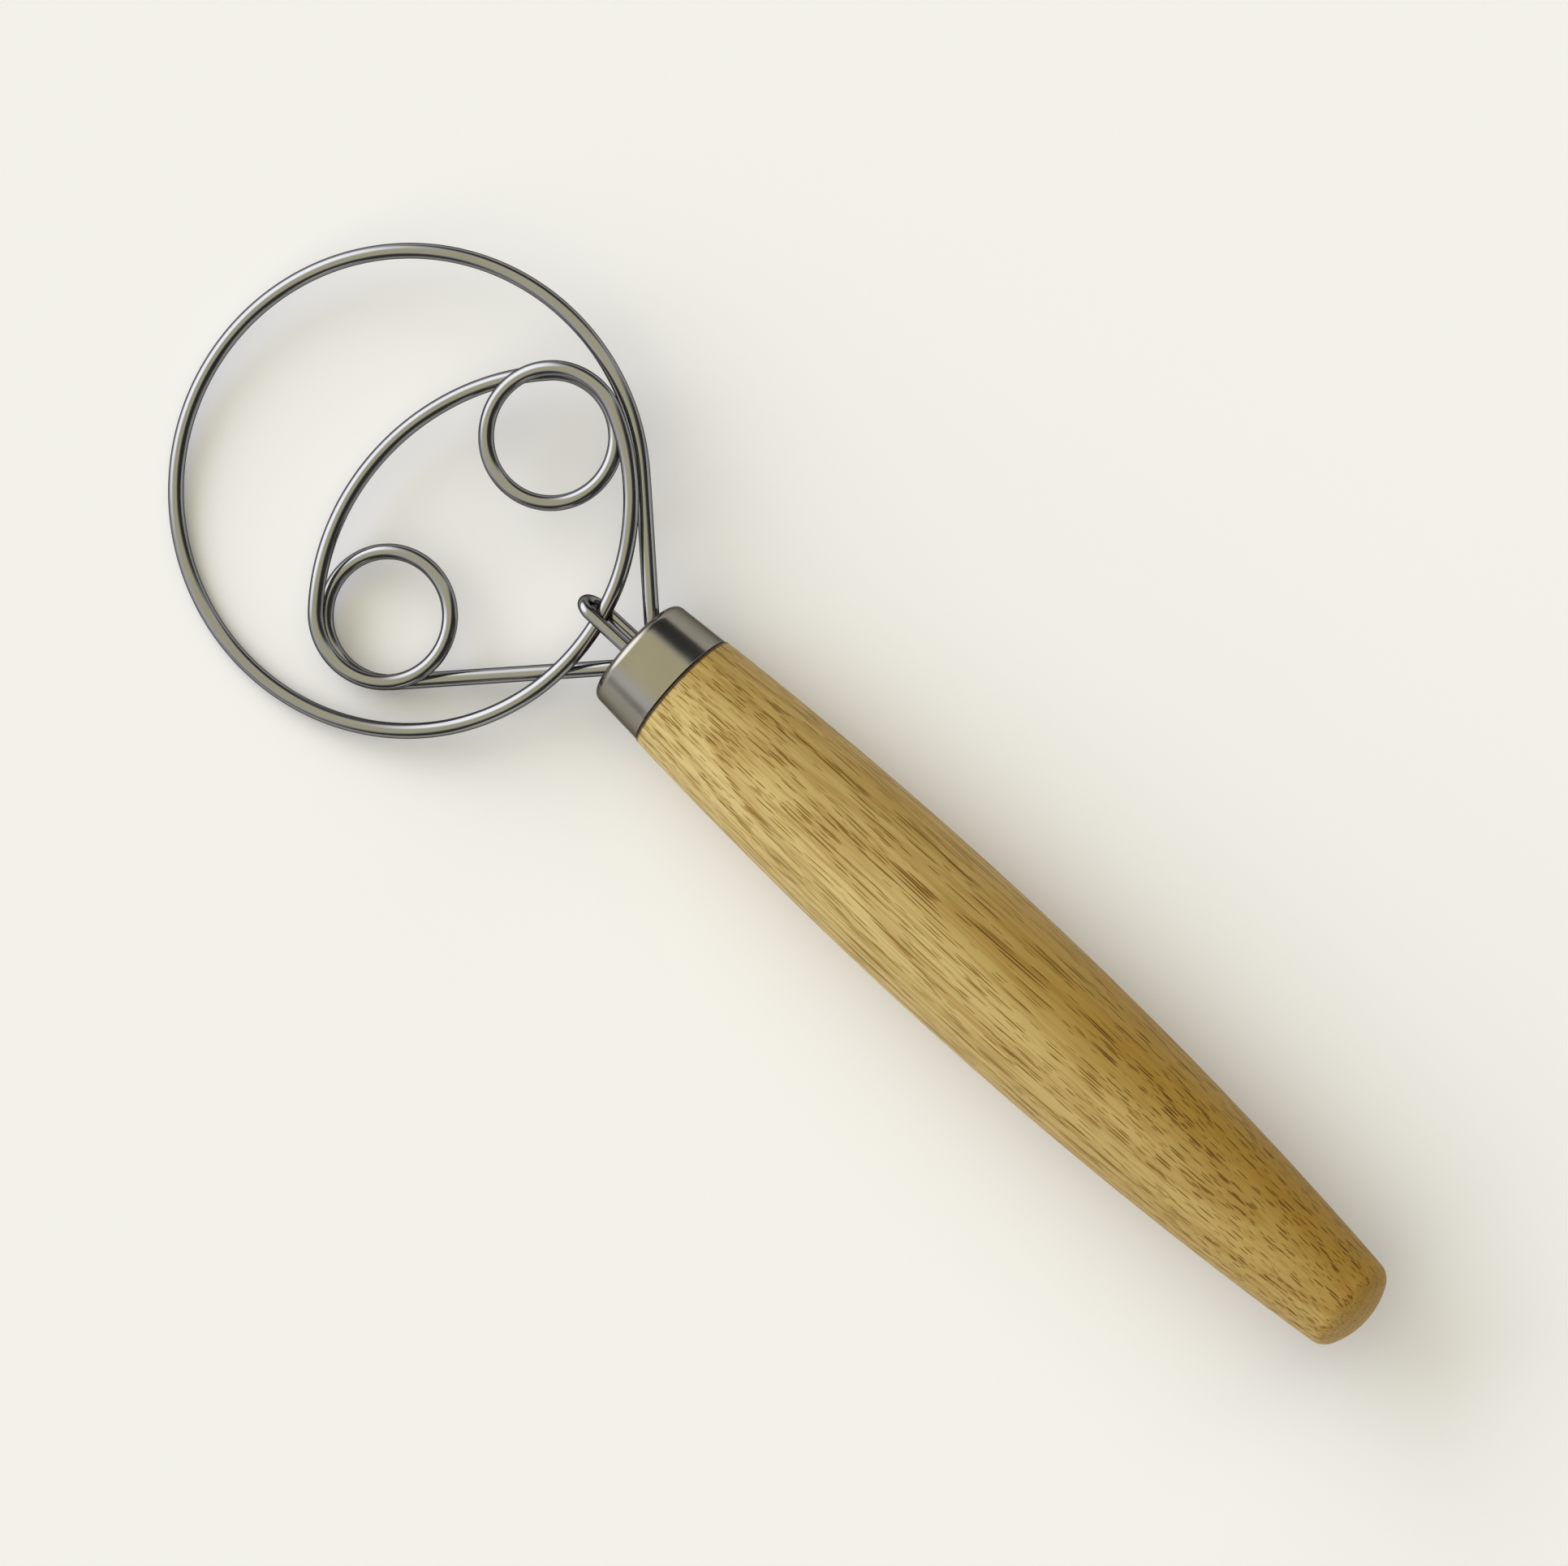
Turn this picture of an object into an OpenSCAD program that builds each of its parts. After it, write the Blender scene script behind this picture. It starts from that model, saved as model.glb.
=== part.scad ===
// Dough whisk lying at rest: a bent wire head, a steel cap and a turned wooden handle.
// The pieces are drawn with the handle's axis along +X, from the cap's front face at x = 0 to
// the butt, with the head at negative x. They are then laid on a table, which is z = 0.

/* [Overall] */
// Length from the far side of the head to the end of the handle
total_l = 239.5; // [236:0.5:256]
// Width of the round head, over the wire
head_w = 78; // [76:1:84]

/* [Wire] */
// Thickness of the head's wire
wire_d = 2.5; // [2.3:0.1:2.6]
// Thickness of the small U that ties the outer loop to the handle
staple_d = 2; // [1.6:0.1:2.1]
// Half the distance between the two strands where they enter the cap
entry_y = 4; // [3.9:0.05:4.2]
// Half the distance between the strands inside the handle
tail_y = 3.7; // [3.6:0.05:3.8]
// Depth to which the strands are potted
tail_l = 30; // [24:1:32]

/* [Steel cap] */
// Length of the cap
cap_l = 10; // [9.5:0.25:11]
// Diameter just behind the rounded shoulder
cap_front_d = 19.5; // [19.3:0.1:19.8]
// Diameter at the open end
cap_back_d = 20.7; // [20.4:0.1:20.8]
// Outside radius of the shoulder
shoulder_r = 1.6; // [1.3:0.1:2.2]
// Thickness of the sheet
sheet_t = 0.75; // [0.6:0.05:0.8]

/* [Handle] */
// Diameter of the wood where it meets the cap
neck_d = 21; // [20.8:0.1:22]
// Largest diameter
belly_d = 25.5; // [24.5:0.1:28]
// Distance of the largest diameter behind the cap's front face
belly_x = 69; // [64:1:78]
// Diameter at the start of the rounded butt
butt_d = 15.7; // [15:0.1:17.5]
// Radius of the domed butt
dome_r = 13.25; // [13:0.25:16]
// Radius of the rounded edge round the dome
dome_edge_r = 3.5; // [2:0.25:4]
// Diameter of the hole drilled in the wood for the strands
bore_d = 12; // [11.8:0.1:13]

/* [Lying on a table] */
// Roll about the handle's axis until the head's edge touches the table
lie_roll = 9; // [5:0.5:12]

/* [Hidden] */

// Faces round exact shapes, on long arcs, and round the wire
round_fn = 96;
long_arc_fn = 720;
wire_sides = 12;
// Distances between the wire's rings on coils, on wide arcs and on straight stretches
coil_step = 1.6;
arc_step = 3.2;
line_step = 4;
// Room between pieces that are glued together
glue_gap = 0.05;
wire_r = wire_d / 2;
staple_r = staple_d / 2;

// Plane geometry: direction at an angle, angle of a direction, and a turn brought to 0 to 360
function unit(angle) = [cos(angle), sin(angle)];
function bearing(v) = atan2(v[1], v[0]);
function whole_turn(angle) = angle - 360 * floor(angle / 360);

// Where a circle about p meets a circle about q; side picks one of the two points
function meet(p, rp, q, rq, side) =
    let (gap = norm(q - p), u = (q - p) / gap)
    let (along = (rp * rp - rq * rq + gap * gap) / (2 * gap))
    let (aside = sqrt(rp * rp - along * along))
    p + along * u + side * aside * [-u[1], u[0]];

// Plan of the head's wire, worked out from its circles. The wire leaves the cap straight, goes
// round the ring, comes inside it along the lead-out, winds coil A, crosses by the arch to
// coil B, winds that and comes straight back. Every stretch is tangent to its neighbours.
head_scale = (head_w - wire_d) / 75.5;
ring_r = (head_w - wire_d) / 2;
ring_c = head_scale * [-43.85, -6.05];
lead_r = head_scale * 36.4;
arch_r = head_scale * 38.8;
coil_a_c = head_scale * [-31.75, 15.95];
coil_a_r = head_scale * 10.9;
coil_b_c = head_scale * [-33.7, -22.65];
coil_b_r = head_scale * 11;
coil_b_second_r = head_scale * 10.3;
// Angles at which each coil's first turn gives way to its smaller second turn
coil_a_switch = 226;
coil_b_switch = 316;

// Coil A's second turn shrinks until it passes inside the ring with this room
tuck_gap = 0.5;
switch_u = unit(coil_a_switch);
tuck_reach = ring_r - wire_d - tuck_gap - coil_a_r;
ring_to_a = coil_a_c - ring_c;
shrink = (tuck_reach * tuck_reach - ring_to_a * ring_to_a) / (2 * (ring_to_a * switch_u - tuck_reach));
coil_a_second_r = coil_a_r - shrink;
coil_a_second_c = coil_a_c + shrink * switch_u;
coil_b_second_c = coil_b_c + (coil_b_r - coil_b_second_r) * unit(coil_b_switch);

// The lead-out touches the ring from inside and coil A from outside; the arch holds both coils
lead_c = meet(ring_c, ring_r - lead_r, coil_a_c, lead_r - coil_a_r, -1);
arch_c = meet(coil_a_second_c, arch_r - coil_a_second_r, coil_b_c, arch_r - coil_b_r, 1);

// Strand A runs from the cap to the ring, strand B from coil B to the cap
entry_a = [0, entry_y];
entry_b = [0, -entry_y];
ring_from = bearing(ring_c - entry_a) - asin(ring_r / norm(ring_c - entry_a)) - 90;
coil_b_to = bearing(entry_b - coil_b_second_c) + asin(coil_b_second_r / norm(entry_b - coil_b_second_c)) - 90;
touch_a = ring_c + ring_r * unit(ring_from);
touch_b = coil_b_second_c + coil_b_second_r * unit(coil_b_to);

// Angles where the stretches change over
ring_to = bearing(lead_c - ring_c);
lead_to = bearing(coil_a_c - lead_c);
coil_a_to = bearing(coil_a_second_c - arch_c);
arch_to = bearing(coil_b_c - arch_c);

// Bend of each strand behind the cap's face, from its slant to the direction of the handle
bend_r = 3.5;
slant_a = whole_turn(bearing(entry_a - touch_a)) - 270;
slant_b = whole_turn(bearing(touch_b - entry_b)) - 180;
turn_a = 90 - slant_a;
turn_b = slant_b;
function corner(entry, strand_u, side) = entry + strand_u * (side * tail_y - entry[1]) / strand_u[1];
corner_a = corner(entry_a, (touch_a - entry_a) / norm(touch_a - entry_a), 1);
corner_b = corner(entry_b, (touch_b - entry_b) / norm(touch_b - entry_b), -1);
bend_a_x = corner_a[0] + bend_r * tan(turn_a / 2);
bend_b_x = corner_b[0] + bend_r * tan(turn_b / 2);
bend_a_c = [bend_a_x, tail_y + bend_r];
bend_b_c = [bend_b_x, -tail_y - bend_r];

// Points along a line and along an arc, each without its last point
function line_points(p, q) =
    let (count = ceil(norm(q - p) / line_step))
    [for (i = [0:count - 1]) p + (q - p) * i / count];
function arc_points(centre, radius, from, turn, step) =
    let (count = ceil(abs(turn) * PI / 180 * radius / step))
    [for (i = [0:count - 1]) centre + radius * unit(from + turn * i / count)];

// Numbers of the stretches, in the order in which the wire is bent
TAIL_A = 0;
STRAND_A = 2;
RING = 3;
LEAD = 4;
COIL_A = 5;
COIL_A_SECOND = 6;
ARCH = 7;
COIL_B = 8;
COIL_B_SECOND = 9;
STRAND_B = 10;
TAIL_B = 12;
stretches = [
    line_points([tail_l, tail_y], [bend_a_x, tail_y]),
    arc_points(bend_a_c, bend_r, 270, -turn_a, 0.5),
    line_points(bend_a_c + bend_r * unit(270 - turn_a), touch_a),
    arc_points(ring_c, ring_r, ring_from, whole_turn(ring_to - ring_from), arc_step),
    arc_points(lead_c, lead_r, ring_to, whole_turn(lead_to - ring_to), arc_step),
    arc_points(coil_a_c, coil_a_r, lead_to, whole_turn(coil_a_switch - lead_to), coil_step),
    arc_points(coil_a_second_c, coil_a_second_r, coil_a_switch,
        whole_turn(coil_a_to - coil_a_switch), coil_step),
    arc_points(arch_c, arch_r, coil_a_to, whole_turn(arch_to - coil_a_to), arc_step),
    arc_points(coil_b_c, coil_b_r, arch_to, whole_turn(coil_b_switch - arch_to), coil_step),
    arc_points(coil_b_second_c, coil_b_second_r, coil_b_switch,
        whole_turn(coil_b_to - coil_b_switch), coil_step),
    line_points(touch_b, bend_b_c + bend_r * unit(90 + turn_b)),
    arc_points(bend_b_c, bend_r, 90 + turn_b, -turn_b, 0.5),
    line_points([bend_b_x, -tail_y], [tail_l, -tail_y]),
    [[tail_l, -tail_y]],
];
plan = [for (s = stretches) each s];

// Distance along the wire of every point, and of a share of a stretch
travel = [for (i = 0, s = 0; i < len(plan);
    s = s + (i + 1 < len(plan) ? norm(plan[i + 1] - plan[i]) : 0), i = i + 1) s];
function points_before(stretch) = stretch == 0 ? 0 : points_before(stretch - 1) + len(stretches[stretch - 1]);
function station(stretch, share) =
    travel[points_before(stretch)] * (1 - share) + travel[points_before(stretch + 1)] * share;

// Height of the wire over the head's middle plane, in wire thicknesses. Where strands cross, the
// later one lies on top, and each coil falls by a little over one thickness in its turn.
strand_a_z = -0.32;
strand_b_z = -0.52;
levels = [
    [TAIL_A, 0, strand_a_z],
    [STRAND_A, 0, strand_a_z],
    [RING, 0, -0.54],
    [RING, 0.15, -0.54],
    [RING, 0.53, -0.36],
    [RING, 0.89, -0.12],
    [LEAD, 0.43, 0.4],
    [LEAD, 0.6, 0.32],
    [LEAD, 0.78, 0.6],
    [COIL_A, 0.1, 0.62],
    [COIL_A_SECOND, 0, 0.05],
    [COIL_A_SECOND, 0.9, -0.86],
    [ARCH, 0.17, -0.88],
    [COIL_B, 0, 0.6],
    [COIL_B_SECOND, 0, 0.25],
    [COIL_B_SECOND, 1, -0.97],
    [STRAND_B, 0.72, -0.88],
    [STRAND_B, 1, strand_b_z],
    [TAIL_B, 0, strand_b_z],
    [TAIL_B, 1, strand_b_z],
];
knots = [for (v = levels) [station(v[0], v[1]), v[2] * wire_d]];

// Smooth curve through the levels that never overshoots one: between two levels it is a cubic,
// and at a level its slope is the harmonic mean of the slopes on both sides
function rise(i) = (knots[i + 1][1] - knots[i][1]) / (knots[i + 1][0] - knots[i][0]);
function slope(i) =
    i == 0 || i == len(knots) - 1 || rise(i - 1) * rise(i) <= 0 ? 0
    : 2 * rise(i - 1) * rise(i) / (rise(i - 1) + rise(i));
function span_of(s) = min(len(knots) - 2, len([for (k = knots) if (k[0] <= s) k]) - 1);
function height(s) =
    let (i = span_of(s), a = knots[i], b = knots[i + 1])
    let (run = b[0] - a[0], t = (s - a[0]) / run)
    a[1] * (2 * t * t * t - 3 * t * t + 1) + b[1] * (3 * t * t - 2 * t * t * t)
    + run * (slope(i) * (t * t * t - 2 * t * t + t) + slope(i + 1) * (t * t * t - t * t));
route = [for (i = [0:len(plan) - 1]) [plan[i][0], plan[i][1], height(travel[i])]];

// Least gap of the wire to itself, between points and stretches over four thicknesses apart
function to_segment(p, a, b) =
    let (t = max(0, min(1, (p - a) * (b - a) / ((b - a) * (b - a)))))
    norm(p - a - t * (b - a));
self_gap = min([for (i = [0:len(route) - 1], j = [i + 1:len(route) - 2])
    if (travel[j] - travel[i] > 4 * wire_d) to_segment(route[i], route[j], route[j + 1])]) - wire_d;
echo(wire_length = travel[len(travel) - 1], wire_self_gap = self_gap);

// The small U: both legs leave the cap, one over and one under the lead-out. It leans over a
// little, and its bend stands off the wire.
staple_y = 0.35;
staple_lean = 16;
staple_slack = 1;
staple_bend_r = wire_r + staple_r + 0.2;
staple_c_x = lead_c[0] + sqrt(lead_r * lead_r - pow(staple_y - lead_c[1], 2)) - staple_slack;
staple_z = height(station(LEAD, whole_turn(asin((staple_y - lead_c[1]) / lead_r) - ring_to)
    / whole_turn(lead_to - ring_to)));
staple_l = 26;

// The cap's face has a slot for the strands and the U
slot_w = 13.2;
slot_h = 8.8;

// Wood: a tenon fills the cap, the shoulder stands a little proud of it
neck_x = cap_l + glue_gap;
neck_bevel = 0.4;
tenon_x = sheet_t + 0.2;
tenon_edge_r = 1.8;
tenon_front_r = cap_front_d / 2 - sheet_t - glue_gap;
tenon_back_r = cap_back_d / 2 - sheet_t - glue_gap;
bore_x = 36;
plug_x = 5.5;
drill_point_h = bore_d / 2 * tan(31);

// The head's far side fixes how far back the butt lies
head_reach = ring_r + wire_r - ring_c[0];
butt_x = total_l - head_reach;
belly_r = belly_d / 2;

// Long arcs of the handle's outline, found from their rise over their run
function arc_radius(run, sag) = (run * run + sag * sag) / (2 * sag);
front_arc_r = arc_radius(belly_x - neck_x, belly_r - neck_d / 2);
dome_c_x = butt_x - dome_r;
butt_edge_x = dome_c_x + sqrt(dome_r * dome_r - butt_d * butt_d / 4);
rear_arc_r = arc_radius(butt_edge_x - belly_x, belly_r - butt_d / 2);
// The rounded edge touches the rear arc and the dome from inside
edge_c = meet([belly_r - rear_arc_r, belly_x], rear_arc_r - dome_edge_r,
    [0, dome_c_x], dome_r - dome_edge_r, 1);

// Where a point goes when the handle is rolled and its head end tipped down
function laid(p, pitch) =
    let (up = p[1] * sin(lie_roll) + p[2] * cos(lie_roll))
    [p[0] * cos(pitch) - up * sin(pitch),
     p[1] * cos(lie_roll) - p[2] * sin(lie_roll),
     p[0] * sin(pitch) + up * cos(pitch)];
// Lowest point of the wire, and of the barrel, which touches the table ahead of its belly
function wire_low(pitch) = min([for (p = route) laid(p, pitch)[2]]) - wire_r;
function barrel_low(pitch) =
    belly_x * sin(pitch) + (front_arc_r - belly_r) * cos(pitch) - front_arc_r;
// Slope at which both touch the table, found by halving the range that holds it
function both_touch(low, high, tries) =
    let (middle = (low + high) / 2)
    tries == 0 ? middle
    : wire_low(middle) > barrel_low(middle) ? both_touch(middle, high, tries - 1)
    : both_touch(low, middle, tries - 1);
lie_pitch = both_touch(0, 6, 14);
lift = -barrel_low(lie_pitch);
echo(lie_pitch = lie_pitch, lift = lift, wire_over_table = wire_low(lie_pitch) + lift);
laid_route = [for (p = route) laid(p, lie_pitch)];
// Middle of the whole object in plan
low_x = min([for (p = laid_route) p[0]]) - wire_r;
high_x = laid([dome_c_x, 0, 0], lie_pitch)[0] + dome_r;
low_y = min([for (p = laid_route) p[1]]) - wire_r;
high_y = max([for (p = laid_route) p[1]]) + wire_r;

// Lays a piece on the table, with the origin under the middle of the object
module lying() {
    translate([-(low_x + high_x) / 2, -(low_y + high_y) / 2, lift])
        rotate([lie_roll, -lie_pitch, 0])
            children();
}

// Turns an outline, drawn as radius and distance along the handle, about the handle's axis
module turned() {
    rotate([0, 90, 0])
        rotate_extrude($fn = round_fn)
            children();
}

// Straight round bar along the handle
module bar(from, to, r, y = 0, z = 0) {
    translate([from, y, z])
        rotate([0, 90, 0])
            cylinder(h = to - from, r = r, $fn = round_fn);
}

// One ring of the wire's skin at point i, square to the wire
function skin_ring(i) =
    let (last = len(route) - 1)
    let (t = route[min(i + 1, last)] - route[max(i - 1, 0)], ahead = t / norm(t))
    let (aside_v = cross([0, 0, 1], ahead), aside = aside_v / norm(aside_v))
    let (over = cross(ahead, aside))
    [for (k = [0:wire_sides - 1])
        route[i] + wire_r * (cos(360 * k / wire_sides) * aside + sin(360 * k / wire_sides) * over)];

module whisk_wire() {
    rings = len(route);
    skin = [for (i = [0:rings - 1]) each skin_ring(i)];
    sides = [for (i = [0:rings - 2], k = [0:wire_sides - 1])
        let (a = i * wire_sides + k, b = i * wire_sides + (k + 1) % wire_sides)
        each [[a, a + wire_sides, b + wire_sides], [a, b + wire_sides, b]]];
    start_cap = [for (k = [1:wire_sides - 2]) [0, k, k + 1]];
    end_ring = (rings - 1) * wire_sides;
    end_cap = [for (k = [1:wire_sides - 2]) [end_ring, end_ring + k + 1, end_ring + k]];
    color("silver")
        lying()
            polyhedron(points = skin, faces = concat(sides, start_cap, end_cap), convexity = 12);
}

module retaining_staple() {
    color("gainsboro")
        lying()
            translate([0, staple_y, staple_z])
                rotate([staple_lean, 0, 0]) {
                    bar(staple_c_x, staple_l, staple_r, z = staple_bend_r);
                    bar(staple_c_x, staple_l, staple_r, z = -staple_bend_r);
                    translate([staple_c_x, 0, 0])
                        rotate([90, 90, 0])
                            rotate_extrude(angle = -180, $fn = round_fn)
                                translate([staple_bend_r, 0])
                                    circle(r = staple_r, $fn = 48);
                }
}

// Outline of the cap's outside or, set in by the sheet, of its inside
module cap_outline(inset) {
    r_edge = shoulder_r - inset;
    front_r = cap_front_d / 2 - inset;
    back_r = cap_back_d / 2 - inset;
    edge_r_at = front_r - r_edge;
    polygon([[0, shoulder_r], [front_r, shoulder_r], [back_r, cap_l + inset], [0, cap_l + inset]]);
    translate([0, inset])
        square([edge_r_at, shoulder_r - inset]);
    intersection() {
        translate([edge_r_at, shoulder_r])
            circle(r = r_edge, $fn = round_fn);
        translate([edge_r_at, inset])
            square([r_edge, r_edge]);
    }
}

module ferrule() {
    color("lightgray")
        lying()
            difference() {
                turned()
                    difference() {
                        cap_outline(0);
                        cap_outline(sheet_t);
                    }
                rotate([90, 0, 90])
                    translate([0, 0, -1])
                        linear_extrude(sheet_t + 2) {
                            square([slot_w - slot_h, slot_h], center = true);
                            for (side = [-1, 1])
                                translate([side * (slot_w - slot_h) / 2, 0])
                                    circle(d = slot_h, $fn = round_fn);
                        }
            }
}

// Outline of the turned wood, as radius and distance along the handle
module barrel_outline() {
    intersection() {
        translate([belly_r - front_arc_r, belly_x])
            circle(r = front_arc_r, $fn = long_arc_fn);
        translate([0, neck_x])
            polygon([[0, 0], [neck_d / 2 - neck_bevel, 0], [neck_d / 2 + 1, neck_bevel + 1],
                [belly_r, neck_bevel + 2], [belly_r, belly_x - neck_x], [0, belly_x - neck_x]]);
    }
    intersection() {
        translate([belly_r - rear_arc_r, belly_x])
            circle(r = rear_arc_r, $fn = long_arc_fn);
        translate([0, belly_x])
            square([belly_r, dome_c_x - belly_x]);
    }
    intersection() {
        translate([belly_r - rear_arc_r, belly_x])
            circle(r = rear_arc_r, $fn = long_arc_fn);
        translate([0, dome_c_x])
            circle(r = dome_r, $fn = long_arc_fn);
        translate([0, dome_c_x])
            square([belly_r, dome_r]);
    }
}

// Slice between the two radii of the rounded edge that reach the rear arc and the dome
module edge_slice() {
    to_rear = unit(bearing(edge_c - [belly_r - rear_arc_r, belly_x]));
    to_dome = unit(bearing(edge_c - [0, dome_c_x]));
    polygon([edge_c, edge_c + 2 * dome_edge_r * to_rear,
        edge_c + 3 * dome_edge_r * (to_rear + to_dome) / norm(to_rear + to_dome),
        edge_c + 2 * dome_edge_r * to_dome]);
}

module handle_outline() {
    difference() {
        barrel_outline();
        edge_slice();
    }
    intersection() {
        translate(edge_c)
            circle(r = dome_edge_r, $fn = long_arc_fn);
        edge_slice();
    }
}

// Outline of the tenon, tapered like the cap's inside and rounded at its front
module tenon_outline() {
    polygon([[0, tenon_x + tenon_edge_r], [tenon_front_r, tenon_x + tenon_edge_r],
        [tenon_back_r, neck_x + 1], [0, neck_x + 1]]);
    translate([0, tenon_x])
        square([tenon_front_r - tenon_edge_r, tenon_edge_r]);
    intersection() {
        translate([tenon_front_r - tenon_edge_r, tenon_x + tenon_edge_r])
            circle(r = tenon_edge_r, $fn = round_fn);
        translate([tenon_front_r - tenon_edge_r, tenon_x])
            square([tenon_edge_r, tenon_edge_r]);
    }
}

module handle() {
    color("burlywood")
        lying()
            difference() {
                union() {
                    turned()
                        handle_outline();
                    turned()
                        tenon_outline();
                }
                bar(-1, bore_x, bore_d / 2);
                translate([bore_x, 0, 0])
                    rotate([0, 90, 0])
                        cylinder(h = drill_point_h, r1 = bore_d / 2, r2 = 0, $fn = round_fn);
            }
}

// Potting that holds the strands and the U in the wood
module epoxy_plug() {
    color("wheat")
        lying()
            difference() {
                bar(plug_x, bore_x - glue_gap, bore_d / 2 - glue_gap);
                bar(plug_x - 1, tail_l + glue_gap, wire_r + glue_gap, tail_y, strand_a_z * wire_d);
                bar(plug_x - 1, tail_l + glue_gap, wire_r + glue_gap, -tail_y, strand_b_z * wire_d);
                translate([0, staple_y, staple_z])
                    rotate([staple_lean, 0, 0])
                        for (side = [-1, 1])
                            bar(plug_x - 1, staple_l + glue_gap, staple_r + glue_gap,
                                z = side * staple_bend_r);
            }
}

whisk_wire();
retaining_staple();
ferrule();
handle();
epoxy_plug();
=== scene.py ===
# %% [markdown]
# A dough whisk lying at rest on a pale table: one stainless wire bent into a flat ring with an
# inner arch and two coils, a small steel U that ties the wire, a steel cap and a turned,
# lacquered wooden handle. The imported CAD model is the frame: every surface made here lies where
# its solid lies. Lengths are written in millimetres and turned to metres at the end.

# %% Load the frame
import math

import bpy
import numpy as np
from mathutils import Matrix, Vector


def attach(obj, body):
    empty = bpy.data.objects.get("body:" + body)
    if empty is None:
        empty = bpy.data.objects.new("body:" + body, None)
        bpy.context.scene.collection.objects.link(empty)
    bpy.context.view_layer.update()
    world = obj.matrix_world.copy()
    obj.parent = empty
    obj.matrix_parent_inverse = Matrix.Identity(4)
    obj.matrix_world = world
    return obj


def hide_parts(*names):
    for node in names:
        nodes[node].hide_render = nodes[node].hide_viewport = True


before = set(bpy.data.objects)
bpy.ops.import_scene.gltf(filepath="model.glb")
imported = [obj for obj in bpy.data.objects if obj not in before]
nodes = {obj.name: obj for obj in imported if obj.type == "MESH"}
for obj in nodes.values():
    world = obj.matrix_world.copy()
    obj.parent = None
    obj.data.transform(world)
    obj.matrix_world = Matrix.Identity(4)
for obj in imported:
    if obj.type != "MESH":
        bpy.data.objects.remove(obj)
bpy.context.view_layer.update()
print("CAD nodes:", sorted(nodes))

# %% [markdown]
# The camera stood almost straight over the whisk, about three metres up, with a long lens, and
# was turned so that the handle points to the lower right. It comes first, because every choice of
# light and finish after it is judged from this view. A camera looks along its own -Z, so its
# matrix is built from the right, up and backward directions.

# %% Camera
MM = 0.001
camera_at = Vector((343.56, 5.82, 3000.0)) * MM
looks_at = Vector((-5.24, 6.1, 10.0)) * MM
turn_in_frame = math.radians(42.392)
SENSOR_WIDTH = 36.0
FOCAL_LENGTH = 441.1

forward = (looks_at - camera_at).normalized()
right = Vector((math.cos(turn_in_frame), math.sin(turn_in_frame), 0.0))
right = (right - forward * right.dot(forward)).normalized()
up = right.cross(forward)
camera = bpy.data.objects.new("camera", bpy.data.cameras.new("camera"))
camera.matrix_world = Matrix((
    (right.x, up.x, -forward.x, camera_at.x),
    (right.y, up.y, -forward.y, camera_at.y),
    (right.z, up.z, -forward.z, camera_at.z),
    (0.0, 0.0, 0.0, 1.0)))
camera.data.sensor_width = SENSOR_WIDTH
camera.data.lens = FOCAL_LENGTH
camera.data.clip_end = 100.0
bpy.context.scene.collection.objects.link(camera)
bpy.context.scene.camera = camera
print("camera up", [round(c, 3) for c in up])

# %% [markdown]
# The whisk is drawn along its own axis first: the cap's front face at x = 0, the head at negative
# x, the butt at positive x. Lying at rest it is rolled a little about the handle until the edge
# of the head touches the table, and tipped so that the barrel touches it too. One function
# carries points from the drawing to the table, in the same way for every piece.

# %% From the drawing to the table
LIE_ROLL = math.radians(9.0)
LIE_PITCH = math.radians(2.30328)
LIE_PLACE = np.array([-36.9164, 5.82277, 10.5915])


def laid(points):
    """Points of the drawing, in mm, as they lie on the table, in metres.

    Roll: z tips towards -y. Pitch: x tips up. Then the whole is moved to its place."""
    x, y, z = np.asarray(points, float).T
    level = y * math.sin(LIE_ROLL) + z * math.cos(LIE_ROLL)
    turned = np.stack([
        x * math.cos(LIE_PITCH) - level * math.sin(LIE_PITCH),
        y * math.cos(LIE_ROLL) - z * math.sin(LIE_ROLL),
        x * math.sin(LIE_PITCH) + level * math.cos(LIE_PITCH)], axis=1)
    return (turned + LIE_PLACE) * MM


# %% [markdown]
# Every new piece is a grid: rows of points, each row a closed ring. Neighbouring rings are joined
# by four-sided faces, and the first and last ring are closed by a flat lid or a pole, or joined
# to each other. The grid also gives the UV map for free: u runs along the rows, 100 mm to the
# unit, and v once round them.

# %% Grid to mesh
UV_MM = 100.0


def distances(points):
    """How far along the line each of its points lies, from 0 at the first."""
    steps = np.linalg.norm(np.diff(points, axis=0), axis=1)
    return np.concatenate([[0.0], np.cumsum(steps)])


def grid_faces(rows, columns, wrap_rows):
    """Corner numbers of the faces between neighbouring rings, each ring closed on itself."""
    bands = rows if wrap_rows else rows - 1
    i, j = np.meshgrid(np.arange(bands), np.arange(columns), indexing="ij")
    i, j = i.ravel(), j.ravel()
    below, beside = (i + 1) % rows, (j + 1) % columns
    return np.stack([i * columns + j, below * columns + j,
                     below * columns + beside, i * columns + beside], axis=1)


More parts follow.
